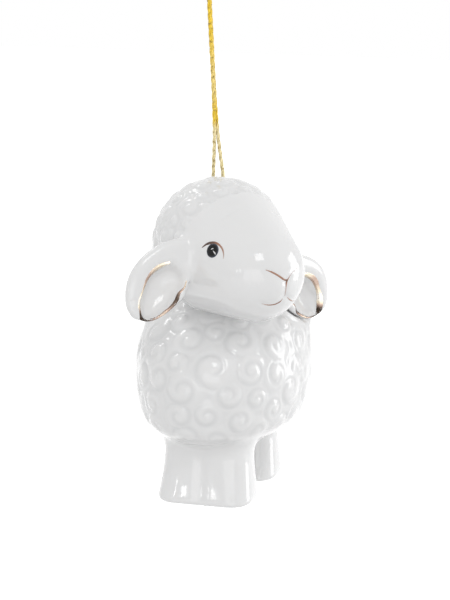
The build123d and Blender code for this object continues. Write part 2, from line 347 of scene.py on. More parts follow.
def buildBody():
    work = bmesh.new()
    around = fullTurn(96)
    rings = []
    for height, wide, long, back in smoothRows(body["torsoShares"], 55):
        middle = at(0, body["torsoLength"] / 2 * back, legHeight + body["torsoHeight"] * height)
        x = np.cos(around) * body["torsoWidth"] / 2 * wide
        y = np.sin(around) * body["torsoLength"] / 2 * long
        rings.append(middle + np.stack((x, y, 0 * x), axis=1))
    skin(work, rings)
    reach, sole = legHeight * body["legReachShare"], body["soleRound"]
    rows = smoothRows(body["legShares"], 24)
    # height, width, depth, toe shift and inset of each ring, first those of the sole's round edge
    table = [(sole * (1 - math.sin(a)), *rows[0][1:], sole * (1 - math.cos(a))) for a in (1.57, 1.2, 0.8, 0.4)]
    table += [(max(share * reach, sole), wide, deep, toe, 0) for share, wide, deep, toe in rows]
    for side in (-1, 1):
        rings = []
        for height, wide, deep, toe, inset in table:
            halfWide = body["legPairWidth"] / 2 * wide - inset
            halfDeep = body["legPairDepth"] / 2 * deep - inset
            corner = body["legCorner"] - inset * 0.5
            middle = at(0, side * body["legSpacing"] / 2 - body["toeOffset"] * toe, height)
            c, s = np.cos(around), np.sin(around)
            x = np.sign(c) * (halfWide - corner) + c * corner
            y = np.sign(s) * (halfDeep - corner) + s * corner
            y = y + np.sign(s) * body["legBow"] * (1 - (x / halfWide) ** 2 * 1.6)
            rings.append(middle + np.stack((x, y, 0 * x), axis=1))
        skin(work, rings)
    root, line, out = tailAxis()
    rings = []
    for a in np.linspace(0.12, math.pi - 0.12, 16):
        middle = root + line * body["tailLength"] / 2 * (1 - math.cos(a))
        r = body["tailWidth"] / 2 * math.sin(a)
        rings.append(middle + oval(around, r, (1, 0, 0), r, out))
    skin(work, rings)
    piece = newPiece("lambBody", work)
    fuse(piece, body["voxel"])
    relax(piece, body["smoothRounds"])

    # a wider blend where the legs and the tail grow out of the wool
    points, _ = readPoints(piece)
    local = points - soles
    away = np.linalg.norm(points - root - line * 5, axis=1)
    hem = np.maximum(hemShare(local, *body["hemBlend"]), 0.35 - 0.35 * smoothStep(*body["tailBlend"], away))
    legs = smoothStep(legHeight + body["legTop"], legHeight, local[:, 2])
    legs *= smoothStep(*body["soleEdge"], local[:, 2])
    relax(piece, body["blendRounds"], np.maximum(0.6 * hem, 0.4 * legs))

    # faint groove between the two legs of each pair
    points, normals = readPoints(piece)
    local = points - soles
    groove = np.exp(-((local[:, 0] / body["cleftWidth"]) ** 2)) * smoothStep(*body["cleftEnd"], local[:, 2])
    points -= normals * (groove * np.abs(normals[:, 1]) ** 2 * body["cleftDepth"])[:, None]
    writePoints(piece, points)
    return piece


lambBody = buildBody()
print("body", len(lambBody.data.vertices))

# curls of the front, read off the photograph: pixel, radius in mm, turns, start and hand
bodyCurls = (
    (188, 340, 3.7, 1.2, 60, 1), (214, 368, 4.3, 1.15, 200, 1), (181, 390, 3.7, 1.3, 90, -1),
    (229, 396, 2.9, 1.25, 230, 1), (178, 417, 3.0, 1.2, 30, 1), (207, 417, 2.6, 1.2, 120, -1),
    (241, 422, 2.7, 1.2, 200, 1), (257, 400, 2.4, 1.4, 140, -1), (274, 410, 2.6, 1.2, 100, 1),
    (155, 352, 3.0, 1.2, 300, -1), (142, 377, 3.2, 1.2, 40, 1), (152, 404, 3.0, 1.2, 180, -1),
    (240, 341, 3.4, 1.2, 150, 1), (251, 371, 3.0, 1.3, 20, -1), (276, 345, 3.0, 1.3, 80, 1),
    (277, 375, 3.1, 1.3, 250, -1), (298, 366, 2.8, 1.2, 90, 1),
)


def nestShare(points):  # 1 on the body under the left ear's cup, where the wool gives way to its rim
    root, line, across, out = earFrame(ear["left"])
    offset = points - root
    along, aside = offset @ line - ear["middle"][0], offset @ across - ear["middle"][1]
    reach = np.hypot(along, aside) / reachAt(ear["outline"], np.arctan2(aside, along))
    rise = offset @ out
    share = smoothStep(*body["nestEdge"], reach) * smoothStep(-ear["bowlDepth"], body["nestFloor"], rise)
    return share * smoothStep(*body["nestTop"], rise)


def carveBody(piece, neighbour):
    chance = random.Random(7)
    tree, other = treeOf(piece), treeOf(neighbour)
    points, normals = readPoints(piece)
    local = points - soles
    curls = []
    for px, py, radius, turns, start, hand in bodyCurls:
        place, normal = hitPixel(tree, px, py)
        curls.append(makeCurl(place, normal, radius * body["curlScale"], turns, start, hand, body["grooveWidth"]))
    woolly = smoothStep(*(legHeight + rise for rise in body["woolStart"]), local[:, 2])
    root, line, _ = tailAxis()
    fromTail = points - root
    fromTail -= np.outer(np.clip(fromTail @ line, 2, body["tailLength"] - 2), line)
    woolly *= smoothStep(*body["bareTail"], np.linalg.norm(fromTail, axis=1) - body["tailWidth"] / 2)
    allowed = (woolly > 0.5) & (local[:, 2] < legHeight + body["torsoHeight"] - 2)
    scatterCurls(points, normals, allowed, curls, body, chance)
    swell, grooves = curlHeights(points, normals, curls)
    rise = body["curlBase"] + body["curlSwell"] * swell - body["grooveDepth"] * grooves
    # smooth where the head and the ears touch the body
    gaps = np.array([other.find_nearest(Vector(point) * mm)[3] for point in points]) / mm
    rise *= woolly * mouldShare(normals, body["seamRelief"]) * smoothStep(*body["headGap"], gaps)
    rise -= body["nestDepth"] * nestShare(points)
    points += normals * rise[:, None]
    writePoints(piece, points)
    relax(piece, body["settleRounds"])
    relax(piece, body["finishRounds"], 0.65 * hemShare(local, *body["hemFinish"]))
    # painted shade: greyer in the spiral grooves and in the creases between the curls
    setAttribute(piece, "paintedShade", woolly * np.clip(grooves * 0.35 + (1 - swell) * 0.25, 0, 1))
    print("curls on the body", len(curls))


# Head with muzzle, wool cap and ears
head = {
    "skullRadius": 15.3, "muzzleRadius": 11.0, "muzzleDistance": 14.4,
    "height": 58.8,  # its middle above the soles
    "forwardOffset": 10.0, "sideOffset": 2.2, "yawDeg": 51.0, "rollDeg": 4.5, "pitchDeg": 15.0,
    "voxel": 0.32, "smoothRounds": 7, "blendRounds": 60, "settleRounds": 3, "capRaise": 0.3,
    # the wool's edge over the right brow, read off the photograph; the left side mirrors it
    "capEdgePx": (
        (187, 236), (195, 235), (203, 232), (208, 226), (215, 222),
        (225, 221), (236, 214), (245, 208), (252, 205), (262, 207),
    ),
    "capBorder": (-3.0, 5.0),  # degrees over which the wool rises at its edge
    "capInset": 3,  # degrees inside the edge where the scattered curls begin
    "lockPush": 5,  # degrees by which the locks at the border shift the edge
    "capBehindDeg": 62,  # off the muzzle's line, under the ears and behind them
    "behindDeg": (95, 120),  # round the muzzle's line from its top
    "curlRadii": (2.0, 3.0), "seamRelief": 0.5875, "curlSwell": 0.8, "grooveDepth": 0.26,
    "grooveWidth": 0.5, "creaseWidth": 0.75, "holeRadius": 0.9, "holeSpacing": 2.6, "holeDepth": 4.2,
}
yaw, roll, pitch = (math.radians(head[key]) for key in ("yawDeg", "rollDeg", "pitchDeg"))
headMiddle = at(head["sideOffset"], -head["forwardOffset"], head["height"])
forward = np.array((math.sin(yaw), -math.cos(yaw), 0))
leftward = np.array((math.cos(yaw) * math.cos(roll), math.sin(yaw) * math.cos(roll), -math.sin(roll)))
upward = np.cross(forward, leftward)
muzzleLine = forward * math.cos(pitch) - upward * math.sin(pitch)
muzzleUp = upward * math.cos(pitch) + forward * math.sin(pitch)

# Ears: the outline and the inner edge of its rolled rim, along and across the ear from its root
ear = {
    "rootDistance": 14.5, "rootOffset": 5.3, "rootHeight": 2.3, "rimDepth": 1.5, "bowlDepth": 4.6,
    "lipHeight": 1.15, "leastLip": 0.7, "wall": 1.5, "middle": (10.0, -0.4),
    "rootBlend": (4.0, 8.5),  # the glaze fills the joint with the head over this far from the root
    "outline": (
        (-1.2, 0.6), (0.2, -2.0), (2.0, -4.0), (5.2, -5.8), (8.8, -6.9), (12.1, -7.2), (15.3, -6.5), (18.2, -4.9),
        (19.6, -3.1), (19.9, -0.8), (18.9, 1.8), (16.7, 3.8), (14.3, 5.1), (11.4, 6.1), (9.3, 6.3), (5.7, 5.3),
        (1.9, 3.2),
    ),
    # inner edge of the rim: along, across, and the gold line's width and tone there, 0 for a cream painted
    # highlight and 1 for a brown-black painted dark reflection
    "innerEdge": (
        (6.0, -0.2, 1.20, 0.00), (8.3, -2.0, 2.00, 0.40), (10.7, -2.9, 1.90, 0.62), (13.5, -2.8, 1.25, 0.40),
        (16.1, -2.3, 2.00, 0.00), (17.9, -1.2, 1.80, 0.95), (19.1, 0.4, 1.30, 1.00), (17.9, 2.2, 1.40, 0.75),
        (15.8, 3.3, 1.20, 0.50), (13.5, 4.3, 1.30, 0.80), (11.9, 4.5, 1.25, 0.95), (10.5, 4.3, 0.90, 0.80),
        (8.9, 4.8, 0.45, 0.50), (7.4, 4.6, 0.25, 0.40), (6.2, 3.3, 0.10, 0.40), (5.6, 1.4, 0.10, 0.30),
    ),
    "goldSpan": (0, 14),  # the rows that are gilded
    "goldInset": 0.3,  # how far the gold lies outside the hollow's edge
    "right": {"side": -1, "droopDeg": 28.0, "sweepDeg": 0.0, "turnDeg": 15.0, "drop": 0.0},
    "left": {"side": 1, "droopDeg": 40.0, "sweepDeg": 20.0, "turnDeg": 8.0, "drop": 5.0},
}


def earFrame(pose):
    outward = leftward * pose["side"]
    sweep, droop, turnOut = (math.radians(pose[key]) for key in ("sweepDeg", "droopDeg", "turnDeg"))
    downSlope = upward * math.cos(sweep) + forward * math.sin(sweep)
    line = outward * math.sin(droop) - downSlope * math.cos(droop)
    facing = forward * math.cos(turnOut) + outward * math.sin(turnOut)
    across = unit(np.cross(facing, line))
    out = np.cross(line, across)
    root = headMiddle + outward * ear["rootDistance"] + forward * ear["rootOffset"]
    root = root + upward * (ear["rootHeight"] - pose["drop"]) + out * ear["rimDepth"]
    across = across * -pose["side"]  # the left ear mirrors the right one
    return root, line, across, out


def reachAt(edge, angles):  # distance from the ear's middle to an edge, by direction
    fine = smoothRows(edge, 240, closed=True)[:, :2] - np.array(ear["middle"])
    bearing = np.arctan2(fine[:, 1], fine[:, 0])
    order = np.argsort(bearing)
    return np.interp(angles, bearing[order], np.hypot(fine[:, 0], fine[:, 1])[order], period=2 * math.pi)


def addEar(work, pose):
    root, line, across, out = earFrame(pose)
    angles = np.linspace(-math.pi, math.pi, 120, endpoint=False)
    outer = reachAt(ear["outline"], angles)
    inner = np.minimum(reachAt(ear["innerEdge"], angles), outer - ear["leastLip"])
    halfLip = (outer - inner) / 2
    lipHeight = np.minimum(halfLip, ear["lipHeight"])
    depth, wall = ear["bowlDepth"], ear["wall"]
    profile = [(outer * math.sin(a), -depth * math.cos(a) + 0 * outer) for a in np.linspace(0.02, 1.5, 18)]
    profile += [
        (outer - halfLip + halfLip * math.cos(a), lipHeight * math.sin(a)) for a in np.linspace(0, math.pi, 13)
    ]
    profile += [(inner * math.sin(a), (wall - depth) * math.cos(a) + 0 * inner) for a in np.linspace(1.5, 0.02, 18)]
    middle = root + line * ear["middle"][0] + across * ear["middle"][1]
    rings = []
    for away, rise in profile:
        rings.append(middle + oval(angles, away, line, away, across) + np.outer(rise, out))
    skin(work, rings)


def buildHead():
    work = bmesh.new()
    around = fullTurn(128)
    skull, muzzle, distance = head["skullRadius"], head["muzzleRadius"], head["muzzleDistance"]
    slope = math.asin((skull - muzzle) / distance)
    profile = [(-skull * math.cos(a), skull * math.sin(a)) for a in np.linspace(0.03, math.pi / 2 + slope, 60)]
    for t in np.linspace(0, 0.98, 36):
        a = slope + (math.pi / 2 - slope) * t
        profile.append((distance + muzzle * math.sin(a), muzzle * math.cos(a)))
    rings = []
    for along, radius in profile:
        rings.append(headMiddle + muzzleLine * along + oval(around, radius, muzzleUp, radius, leftward))
    skin(work, rings)
    addEar(work, ear["right"])
    addEar(work, ear["left"])
    piece = newPiece("lambHead", work)
    fuse(piece, head["voxel"])
    relax(piece, head["smoothRounds"])
    # softer blend where the ears grow out of the head
    points, _ = readPoints(piece)
    blendIn = np.zeros(len(points))
    for pose in (ear["right"], ear["left"]):
        root, line, _, out = earFrame(pose)
        away = np.linalg.norm(points - (root + line * 3.5 - out * 1.5), axis=1)
        blendIn = np.maximum(blendIn, 1 - smoothStep(*ear["rootBlend"], away))
    relax(piece, head["blendRounds"], 0.6 * blendIn)
    return piece


lambHead = buildHead()
print("head", len(lambHead.data.vertices))


def earShare(points):  # 1 on the ears' leaves, 0 on the skull
    away = np.linalg.norm(points - headMiddle, axis=1)
    along = (points - headMiddle) @ muzzleLine
    plain = np.where(along > 4.3, np.inf, away)
    return smoothStep(head["skullRadius"] + 0.25, head["skullRadius"] + 1.2, plain) * (along < 9)


# each point's pixel in the photograph, width in mm, and tone from 0 for a pale wash to 1 for full paint
faceLines = {
    "lid": (
        (202, 247.6, 0.2, 0.9), (207.2, 243.9, 0.6, 1.0), (213, 242.7, 0.7, 0.85), (217.8, 243.9, 0.55, 0.5),
        (221.9, 248.2, 0.45, 0.4), (223.6, 254, 0.32, 0.25), (223.2, 259, 0.08, 0.1),
    ),
    "nose": (
        (265.6, 269.9, 0.12, 0.25), (271, 271.8, 0.4, 0.4), (277.5, 275.2, 0.48, 0.42), (283.5, 279.2, 0.5, 0.55),
        (287.2, 280.6, 0.5, 0.8),
    ),
    "noseFar": (
        (286.4, 282.6, 0.5, 0.8), (288.2, 278.6, 0.26, 0.5), (291.2, 274, 0.12, 0.0), (294.5, 270.4, 0.1, 0.0),
        (297.6, 267.8, 0.03, 0.0),
    ),
    "philtrum": (
        (286.5, 282, 0.5, 0.6), (286.2, 287, 0.36, 0.1), (285.6, 291.5, 0.34, 0.0), (284.8, 296, 0.1, 0.0),
    ),
    "mouth": (
        (282.6, 298.6, 0.08, 0.3), (279.6, 302, 0.32, 0.6), (274.5, 304.4, 0.36, 0.6), (268, 305, 0.3, 0.45),
        (261.5, 303.6, 0.06, 0.2),
    ),
    "mouthFar": (
        (287.2, 297.2, 0.08, 0.2), (289.6, 299.6, 0.34, 0.35), (292.4, 301, 0.26, 0.3), (294.6, 300.4, 0.05, 0.1),
    ),
}
creases = {"mouth": 0.24, "mouthFar": 0.24, "philtrum": 0.26, "nose": 0.1, "noseFar": 0.12}  # depths in mm


def aroundMuzzle(local):  # angle from the muzzle's line, and angle round it from its top, in degrees
    bearing = np.degrees(np.arccos(np.clip(local @ muzzleLine / np.linalg.norm(local, axis=-1), -1, 1)))
    return bearing, np.abs(np.degrees(np.arctan2(local @ leftward, local @ muzzleUp)))


def carveHead(piece):
    chance = random.Random(11)
    tree = treeOf(piece)
    points, normals = readPoints(piece)
    local = points - headMiddle
    edgeSpots = np.array([hitPixel(tree, px, py)[0] for px, py in head["capEdgePx"]]) - headMiddle
    edgeBearing, edgeRound = aroundMuzzle(edgeSpots)
    order = np.argsort(edgeRound)
    bearing, turned = aroundMuzzle(local)
    edge = np.interp(turned, edgeRound[order], edgeBearing[order])
    edge = np.maximum(edge, head["capBehindDeg"] * smoothStep(*head["behindDeg"], turned))
    onSkull = 1 - earShare(points)
    inside = (bearing > edge + head["capInset"]) & (onSkull > 0.9)
    curls = scatterCurls(points, normals, inside, [], head, chance)
    swell, grooves = curlHeights(points, normals, curls)
    # each lock at the border pushes the wool's edge out a little
    cap = smoothStep(*head["capBorder"], bearing - edge + head["lockPush"] * (swell - 0.5)) * onSkull
    rise = head["capRaise"] - head["curlSwell"] * (1 - swell) - head["grooveDepth"] * grooves
    points += normals * (cap * mouldShare(normals, head["seamRelief"]) * rise)[:, None]
    for name, depth in creases.items():
        path = smoothRows([hitPixel(tree, px, py)[0] for px, py, _, _ in faceLines[name]], 60)
        near = np.nonzero(np.linalg.norm(points - path.mean(axis=0), axis=1) < 9)[0]
        away = np.linalg.norm(points[near][:, None, :] - path[None], axis=2).min(axis=1)
        points[near] -= normals[near] * (depth * np.exp(-((away / head["creaseWidth"]) ** 2)))[:, None]
    writePoints(piece, points)
    relax(piece, head["settleRounds"])
    # painted shade: greyer in the grooves and creases of the wool cap
    setAttribute(piece, "paintedShade", cap * np.clip(grooves * 0.2 + (1 - swell) * 0.2, 0, 1))
    print("curls on the cap", len(curls))


carveHead(lambHead)
carveBody(lambBody, lambHead)


# Cord: one loop of twisted yarn, from under the crown up strand A, round the eye and back down strand B
cordFacts = {
    "diameter": 0.82, "strandGap": 0.06, "eyeWidth": 5.0, "eyeHeight": 9.3,
    "eyeFoot": 6.4,  # how far below the eye the strands lie together
    "eyeWidestShare": 0.35, "eyeTopShare": 0.52, "crownWall": 2.1,
    "turnDepth": 2.9,  # the turn under the crown
    "plies": 3,
    "plyShare": 0.59,  # a ply's own radius, as a share of the cord's
    "reachShare": 1.08,  # how far the plies reach, so that the twisted cord measures the full diameter
    "plyPitch": 6.0,  # one full turn of the twist, so a ply passes every 2 mm
    "step": 0.16,
}


def cordRoute():
    strand = (cordFacts["diameter"] + cordFacts["strandGap"]) / 2
    hole, eyeHalf = head["holeSpacing"] / 2, cordFacts["eyeWidth"] / 2
    crownLevel, eyeLevel = -hang["hookToCrown"], -cordFacts["eyeHeight"]
    half = [
        (0, 0, crownLevel - cordFacts["turnDepth"]),
        (-hole, 0, crownLevel - cordFacts["turnDepth"]),
        (-hole, 0, crownLevel + cordFacts["crownWall"]),
        (0, -strand, crownLevel + hang["crownToFork"]),
        (0, -strand, eyeLevel - cordFacts["eyeFoot"]),
        (0, -strand, eyeLevel),
        (0, -eyeHalf, eyeLevel * cordFacts["eyeWidestShare"]),
        (0, -eyeHalf * cordFacts["eyeTopShare"], cordFacts["diameter"] / 2),
    ]
    return [cordPoint(*p) for p in half] + [cordPoint(-x, -y, z) for x, y, z in reversed(half)]


def routeLine(name, route, steps):  # points along the smooth curve that the route controls
    curve = bpy.data.curves.new(name, "CURVE")
    curve.dimensions = "3D"
    spline = curve.splines.new("NURBS")
    spline.points.add(len(route) - 1)
    for point, place in zip(spline.points, route):
        point.co = (*(Vector(place) * mm), 1)
    spline.order_u = 3
    spline.use_endpoint_u = True
    spline.resolution_u = steps
    carrier = addObject(name, curve)
    mesh = bpy.data.meshes.new_from_object(carrier.evaluated_get(bpy.context.evaluated_depsgraph_get()))
    line = np.array([vertex.co for vertex in mesh.vertices]) / mm
    bpy.data.meshes.remove(mesh)
    bpy.data.objects.remove(carrier)
    bpy.data.curves.remove(curve)
    return line


def evenSteps(line, step):
    spans = np.linalg.norm(np.diff(line, axis=0), axis=1)
    run = np.concatenate(([0], np.cumsum(spans)))
    places = np.linspace(0, run[-1], int(run[-1] / step) + 1)
    return np.stack([np.interp(places, run, line[:, k]) for k in range(3)], axis=1), places


def twistFrames(line):  # two directions square to the line, carried along without turning
    tangents = np.gradient(line, axis=0)
    tangents /= np.linalg.norm(tangents, axis=1)[:, None]
    side = unit(np.cross(tangents[0], (0.3, 1, 0.2)))
    sides = []
    for tangent in tangents:
        side = unit(side - tangent * (side @ tangent))
        sides.append(side)
    sides = np.array(sides)
    return sides, np.cross(tangents, sides)


def addYarn(work, uvLayer, line, places):
    sides, ups = twistFrames(line)
    radius, plies = cordFacts["diameter"] / 2, cordFacts["plies"]
    plyRadius = radius * cordFacts["plyShare"]
    orbit = radius * cordFacts["reachShare"] - plyRadius
    around = fullTurn(9)
    for ply in range(plies):
        turn = 2 * math.pi * (places / cordFacts["plyPitch"] + ply / plies)
        centres = line + (np.cos(turn)[:, None] * sides + np.sin(turn)[:, None] * ups) * orbit
        frameTurn = turn[:, None] + around[None, :]
        rings = centres[:, None, :] + plyRadius * (
            np.cos(frameTurn)[..., None] * sides[:, None, :] + np.sin(frameTurn)[..., None] * ups[:, None, :]
        )
        rows = [[work.verts.new(Vector(point) * mm) for point in ring] for ring in rings]
        for k, (low, high) in enumerate(zip(rows, rows[1:])):
            for i in range(len(low)):
                j = (i + 1) % len(low)
                face = work.faces.new((low[i], low[j], high[j], high[i]))
                corners = ((i, k), (i + 1, k), (i + 1, k + 1), (i, k + 1))
                for loop, (u, v) in zip(face.loops, corners):
                    loop[uvLayer].uv = (u / len(low) + ply * 0.37, places[v])
        work.faces.new(rows[0])
        work.faces.new(rows[-1])


def buildCord():
    line, places = evenSteps(routeLine("cordRoute", cordRoute(), 40), cordFacts["step"])
    work = bmesh.new()
    uvLayer = work.loops.layers.uv.new("yarn")
    addYarn(work, uvLayer, line, places)
    return newPiece("goldCord", work), line, places[-1]


goldCord, cordLine, cordLength = buildCord()
print("cord", round(cordLength, 1), "mm")

knotFacts = {
    "width": 3.0, "height": 2.6, "seatShare": 0.3, "endLength": 5.5, "endSpreadDeg": 24.0,
}


def buildKnot():  # an overhand knot on the crest of the eye, with two short ends
    half, tall, radius = knotFacts["width"] / 2, knotFacts["height"] / 2, cordFacts["diameter"] / 2
    seat = radius + knotFacts["height"] * knotFacts["seatShare"]
    work = bmesh.new()
    uvLayer = work.loops.layers.uv.new("yarn")
    t = fullTurn(160)
    wide, deep = (half - radius) / 3, radius * 0.9
    x = wide * (np.sin(t) + 2 * np.sin(2 * t))
    z = (tall - radius) / 3 * (np.cos(t) - 2 * np.cos(2 * t))
    y = -deep * np.sin(3 * t)
    loop = np.array([cordPoint(a, b, seat + c) for a, b, c in zip(x, y, z)])
    loop = np.vstack((loop, loop[:2]))
    addYarn(work, uvLayer, *evenSteps(loop, cordFacts["step"]))
    reach = tall + knotFacts["endLength"]
    for side in (-1, 1):
        spread = math.radians(knotFacts["endSpreadDeg"]) * side
        bends = ((0, 0), (0.2 * side, 0.35), (0.1 * side, 0.7), (0, 1.0))
        end = [cordPoint(math.sin(spread) * reach * f, y, seat + math.cos(spread) * reach * f) for y, f in bends]
        addYarn(work, uvLayer, *evenSteps(routeLine("cordEnd", end, 30), cordFacts["step"]))
    return newPiece("cordKnot", work)


cordKnot = buildKnot()
print("knot made")


# Cord holes in the crown and pouring hole in the belly
def cutHoles(piece, spots, line, radius, reach):
    work = bmesh.new()
    side = unit(np.cross(line, (0.2, 1, 0.1)))
    other = np.cross(line, side)
    around = fullTurn(40)
    for spot in spots:
        ring = oval(around, radius, side, radius, other)
        skin(work, [spot + line * k + ring for k in np.linspace(-reach, reach, 8)])
    cutter = newPiece("cutter", work)
    cut = piece.modifiers.new("holes", "BOOLEAN")
    cut.operation = "DIFFERENCE"
    cut.solver = "EXACT"
    cut.object = cutter
    bake(piece)
    bpy.data.objects.remove(cutter)


crown = cordPoint(0, 0, -hang["hookToCrown"])
holeHalf = head["holeSpacing"] / 2
spots = [crown + acrossCord * s * holeHalf for s in (-1, 1)]
cutHoles(lambHead, spots, alongCord, head["holeRadius"], head["holeDepth"])
cutHoles(lambBody, [at(0, 0, legHeight)], np.array((0, 0, 1.0)), body["drainRadius"], body["drainDepth"])
print("holes cut")

# Painted lines, laid on the glaze as thin raised strokes
headTree = treeOf(lambHead)


def paintStroke(name, tree, points, brush, lift=0.035, count=90):  # the brush's width and tone at each point
    middle = smoothRows(points, count)
    width, tone = smoothRows(brush, count).T
    placed = [nearest(tree, point) for point in middle]
    spots = np.array([place for place, _ in placed])
    outs = np.array([normal for _, normal in placed])
    sides = np.cross(outs, np.gradient(spots, axis=0))
    sides /= np.linalg.norm(sides, axis=1)[:, None]
    work = bmesh.new()
    rows = []
    for spot, out, side, wide in zip(spots, outs, sides, width):
        row = []
        for across, rise in ((-1, -0.03), (-0.75, lift * 0.8), (0, lift), (0.75, lift * 0.8), (1, -0.03)):
            place, normal = nearest(tree, spot + side * across * wide / 2)
            row.append(work.verts.new(Vector(place + normal * rise) * mm))
        low = nearest(tree, spot)[0] - out * 0.12
        row.append(work.verts.new(Vector(low) * mm))
        rows.append(row)
    stitch(work, rows)
    stroke = newPiece(name, work)
    setAttribute(stroke, "tone", np.repeat(np.clip(tone, 0, 1), 6))
    return stroke


def mirrored(points):  # the other side of the face
    return [point - leftward * 2 * ((point - headMiddle) @ leftward) for point in points]


def onHead(rows):
    return [hitPixel(headTree, px, py)[0] for px, py, _, _ in rows]


paint = {}
for name, rows in faceLines.items():
    paint[name] = paintStroke(name, headTree, onHead(rows), np.array(rows)[:, 2:])
lid = faceLines["lid"]
paint["lidLeft"] = paintStroke("lidLeft", headTree, mirrored(onHead(lid)), np.array(lid)[:, 2:])


def buildGoldLine(name, pose):
    root, line, across, out = earFrame(pose)
    first, last = ear["goldSpan"]
    rows = smoothRows(ear["innerEdge"][first:last], 200)
    away = rows[:, :2] - np.array(ear["middle"])
    flat = rows[:, :2] + away / np.linalg.norm(away, axis=1)[:, None] * ear["goldInset"]
    points = root + np.outer(flat[:, 0], line) + np.outer(flat[:, 1], across) + out * 0.5
    return paintStroke(name, headTree, points, rows[:, 2:], lift=0.06, count=200)


goldRight = buildGoldLine("goldRight", ear["right"])
goldLeft = buildGoldLine("goldLeft", ear["left"])
print("painted lines laid")

eye = {
    "px": (212.6, 250.6), "width": 3.0, "height": 3.15, "proud": 0.3,
    # each ring's share of the width, its rise, and how thick the enamel is there
    "profile": (
        (0.9, -0.25, 0), (1.0, -0.05, 0), (0.97, 0.1, 0.15), (0.88, 0.19, 0.75),
        (0.7, 0.27, 1), (0.45, 0.31, 1), (0.15, 0.33, 1),
    ),
}


def faceFrame(normal):  # right and up on the face, square to its normal
    up = unit(upward - normal * (upward @ normal))
    return np.cross(up, normal), up


def buildEye(name, place, normal):
    side, up = faceFrame(normal)
    around = fullTurn(48)
    crest = eye["profile"][-1][1]
    work = bmesh.new()
    rings = []
    for share, rise, _ in eye["profile"]:
        rim = oval(around, eye["width"] / 2 * share, side, eye["height"] / 2 * share, up)
        bow = (rim @ side) ** 2 + (rim @ up) ** 2
        rings.append(place + rim + np.outer(rise * eye["proud"] / crest - bow / (2 * head["skullRadius"]), normal))
    skin(work, rings)
    drop = newPiece(name, work)
    setAttribute(drop, "thick", np.repeat([thick for _, _, thick in eye["profile"]], len(around)))
    return drop


eyePlace, eyeNormal = hitPixel(headTree, *eye["px"])
rightEye = buildEye("rightEye", eyePlace, eyeNormal)
otherPlace, otherNormal = nearest(headTree, mirrored([eyePlace])[0])
leftEye = buildEye("leftEye", otherPlace, otherNormal)
glintFacts = {  # along and up the eye from its middle, and the width there, in mm
    "short": ((-0.3, 0.15, 0.08), (0.0, 0.36, 0.26), (0.28, 0.5, 0.06)),
    "long": ((0.32, -0.05, 0.06), (0.75, -0.42, 0.34), (1.1, -0.78, 0.12)),
}


def addGlints(name, drop, place, normal):
    tree = treeOf(drop)
    side, up = faceFrame(normal)
    dabs = []
    for key, rows in glintFacts.items():
        path = [place + side * x + up * y + normal * 0.4 for x, y, _ in rows]
        brush = [(wide, 0) for _, _, wide in rows]
        dabs.append(paintStroke(name + key.title(), tree, path, brush, lift=0.03, count=24))
    return dabs


glints = addGlints("rightGlint", rightEye, eyePlace, eyeNormal)
glints += addGlints("leftGlint", leftEye, otherPlace, otherNormal)
print("eyes made")

# Materials
materialFacts = {
    "clearGlazedPorcelain": {
        # the second grey is painted shade for the grooves and creases between the curls
        "colour": "F0F0F0", "shadeInGrooves": "D6D7D8", "roughness": 0.08, "ripple": 3.0, "cloud": 14.0,
    },
    "brushedGoldLustre": {
        # the gold's lightest and darkest colours are painted reflections: a highlight and a dark reflection
        "colour": "F4E8D0", "brightReflection": "FFFAF0", "rose": "BCA496", "darkReflection": "3A312A",
        "roughness": 0.16, "patch": 1.6, "brush": 0.35,
    },
    "firedBrownChinaPaint": {
        "wash": "CDBDB8", "colour": "A8785E", "dark": "40281E", "roughness": 0.25, "streak": 0.5,
    },
    "droppedCharcoalEnamel": {"colour": "08090B", "edge": "565E6E", "roughness": 0.08, "ripple": 0.8},
    "twistedMetallisedYarn": {
        "colour": "F0CC36", "pale": "EFE0AE", "speck": "9A8240", "filament": 0.09, "speckLength": 0.7,
        # heights between which the yarn pales, and how pale it is at both
        "bands": {"strands": (-39.2, -41.5, 0, 1), "faded": (-20, -29, 0, 0.45), "rubbed": (-33, -37, 1, 0)},
    },
    "paperFloor": {"colour": "DCDCDC", "fibre": "D6D6D6"},
}


def linear(code):  # sRGB hex to the linear colour that Blender's sockets take
    values = [int(code[i : i + 2], 16) / 255 for i in (0, 2, 4)]
    return [v / 12.92 if v <= 0.04045 else ((v + 0.055) / 1.055) ** 2.4 for v in values] + [1]


def feed(material, node, inputs):  # links the sockets among the inputs and sets the plain values
    for key, value in inputs.items():
        if isinstance(value, bpy.types.NodeSocket):
            material.node_tree.links.new(value, node.inputs[key])
        else:
            node.inputs[key].default_value = value


def addNode(material, kind, inputs, output=0, **settings):
    node = material.node_tree.nodes.new("ShaderNode" + kind)
    for key, value in settings.items():
        setattr(node, key, value)
    feed(material, node, inputs)
    return node.outputs[output]


def startMaterial(name):
    material = bpy.data.materials.new(name)
    material.use_nodes = True
    place = addNode(material, "TexCoord", {}, "Object")
    return materialFacts[name], material, material.node_tree.nodes["Principled BSDF"], place


def grained(material, place, grain, detail, strength, depth):  # a pattern with grains of this size, and its bump
    pattern = addNode(material, "TexNoise", {"Vector": place, "Scale": 1000 / grain, "Detail": detail})
    return pattern, addNode(material, "Bump", {"Height": pattern, "Strength": strength, "Distance": depth * mm})


def mottled(material, base, pattern, spread, low):  # the base, shifted by a pattern from low upwards
    shift = addNode(material, "Math", {0: pattern, 1: spread, 2: low}, operation="MULTIPLY_ADD")
    return addNode(material, "Math", {0: shift, 1: base}, operation="ADD", use_clamp=True)


def toneColour(material, facts, pattern, spread, ends, between):  # a painted line's colour, by its mottled tone
    tone = addNode(material, "Attribute", {}, "Fac", attribute_name="tone")
    ramp = addNode(material, "ValToRGB", {"Fac": mottled(material, tone, pattern, spread, -spread / 2)})
    stops = ramp.node.color_ramp.elements
    for stop, code in zip(stops, ends):
        stop.color = linear(facts[code])
    for share, code in between.items():
        stops.new(share).color = linear(facts[code])
    return ramp
